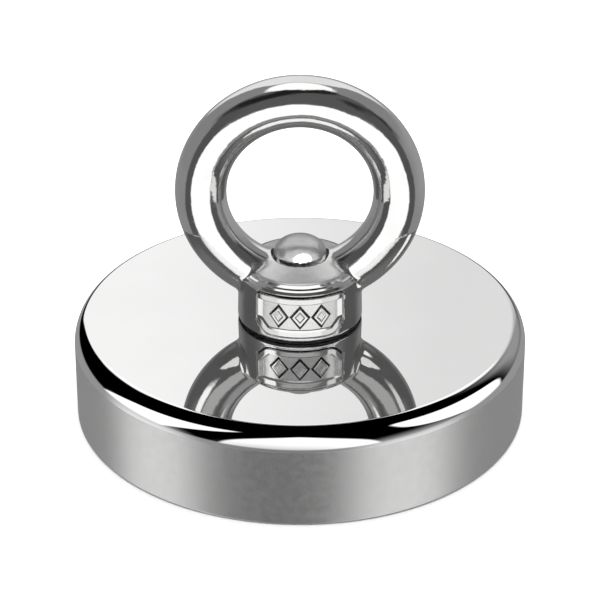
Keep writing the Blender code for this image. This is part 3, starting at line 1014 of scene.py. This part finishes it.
def make_surroundings(name, windows, pieces, radius, ground, sky, second_hand=False):
    """What some of the pieces mirror: soft-edged windows over a plain ground and sky.

    One that is second-hand shows only in a piece that is itself seen mirrored in another.
    """
    dome = make_dome(name, radius)
    n = Nodes(name)
    light = window_light(n, windows, ground, sky)
    bounces = n.new("ShaderNodeLightPath").outputs["Ray Depth"]
    shows = n.maths("GREATER_THAN" if second_hand else "LESS_THAN", bounces, 1.5)
    glow = n.new("ShaderNodeEmission")
    n.feed(glow.inputs["Strength"], n.maths("MULTIPLY", light, shows))
    both = n.new("ShaderNodeAddShader")
    n.feed(both.inputs[0], glow.outputs["Emission"])
    n.feed(both.inputs[1], n.new("ShaderNodeBsdfTransparent").outputs["BSDF"])
    n.feed(n.tree.nodes["Material Output"].inputs["Surface"], both.outputs["Shader"])
    n.tree.nodes.remove(n.shader)
    n.material.cycles.emission_sampling = "NONE"
    put_on(dome, n.material)
    mirrors = bpy.data.collections.new(name)
    for piece in pieces:
        mirrors.objects.link(piece)
    dome.light_linking.receiver_collection = mirrors


def add_light(name, place, target, size, power):
    data = bpy.data.lights.new(name, "AREA")
    data.shape = "RECTANGLE"
    data.size, data.size_y = size
    data.energy = power
    light = bpy.data.objects.new(name, data)
    light.location = place
    light.rotation_euler = (Vector(target) - Vector(place)).to_track_quat("-Z", "Y").to_euler()
    light.visible_glossy = False
    bpy.context.scene.collection.objects.link(light)


def make_camera():
    """The camera in front of the marking, looking down at its elevation."""
    data = bpy.data.cameras.new("camera")
    data.lens = CAMERA_LENS
    data.clip_end = 20.0
    camera = bpy.data.objects.new("camera", data)
    back = Vector((0.0, -math.cos(CAMERA_ELEVATION), math.sin(CAMERA_ELEVATION)))
    camera.location = CAMERA_TARGET + back * CAMERA_DISTANCE
    camera.rotation_euler = (-back).to_track_quat("-Z", "Y").to_euler()
    bpy.context.scene.collection.objects.link(camera)
    bpy.context.scene.camera = camera


# Assembly -------------------------------------------------------------------------------------

steel = screw_steel(size_of("countersunk_screw")[2])
dull_nickel = plain_steel("dull nickel plate", (0.60, 0.585, 0.56), 0.22, 0.34)
nickel = bright_nickel(size_of("steel_pot")[2])
stainless = polished_stainless(EYE_SEAT)
resin = black_resin()
rubber = black_rubber()

# Piece, the CAD node that it replaces, the body that it rides on and its material
made = [
    (make_pot(), "steel_pot", "magnet_body", nickel),
    (make_face(), "steel_pot", "magnet_body", nickel),
    (make_magnet(), "ring_magnet", "magnet_body", dull_nickel),
    (make_resin("outer_resin_ring", "ring_magnet"), "outer_resin_ring", "magnet_body", resin),
    (make_resin("inner_resin_ring", "centre_pole"), "inner_resin_ring", "magnet_body", resin),
    (make_pole(), "centre_pole", "magnet_body", dull_nickel),
    (make_screw(), "countersunk_screw", "magnet_body", steel),
    (make_washer(), "collar_washer", "washer", rubber),
    (make_eye(), "eye_nut", "eye", stainless),
    (make_lip(), "eye_nut", "eye", stainless),
    (make_panel("front_panel", -math.pi / 2), "eye_nut", "eye", stainless),
    (make_panel("back_panel", math.pi / 2), "eye_nut", "eye", stainless),
    (make_nut_thread(), "eye_nut", "eye", stainless),
]
for piece, node, body, look in made:
    put_on(piece, look)
    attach(piece, body)
    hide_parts(node)
put_on(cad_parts["bond_film"], resin)

make_floor()
make_world()
eye_pieces = [piece for piece, node, *_ in made if node == "eye_nut"]
screw_pieces = [piece for piece, node, *_ in made if node == "countersunk_screw"]
metal_pieces = eye_pieces + screw_pieces
pot_pieces = [piece for piece, *_ in made if piece not in metal_pieces]
face_pieces = [piece for piece in pot_pieces if piece.name == "pot_face"]
cup_pieces = [piece for piece in pot_pieces if piece not in face_pieces]
# Name, windows, pieces, radius in millimetres, brightness of the ground and of the sky
first_hand = (
    ("face_surroundings", FACE_WINDOWS, face_pieces, 1050.0, 0.30, 0.85),
    ("pot_surroundings", POT_WINDOWS, cup_pieces, 1000.0, 0.30, 0.0),
    ("eye_surroundings", EYE_WINDOWS, eye_pieces, 1100.0, 0.27, 0.25),
    ("screw_surroundings", SCREW_WINDOWS, screw_pieces, 1200.0, 0.45, 0.66),
)
second_hand = (
    ("pot_in_eye", POT_IN_EYE_WINDOWS, pot_pieces, 1300.0, 0.10, 0.10),
    ("eye_in_pot", EYE_IN_POT_WINDOWS, metal_pieces, 1250.0, 0.10, 0.10),
)
for row in first_hand:
    make_surroundings(*row)
for row in second_hand:
    make_surroundings(*row, second_hand=True)
add_light("overhead_softbox", place=(0, 0.2, 1.2), target=(0, 0, 0), size=(1.6, 1.6), power=22.0)
make_camera()
bpy.context.scene.view_settings.view_transform = "Standard"
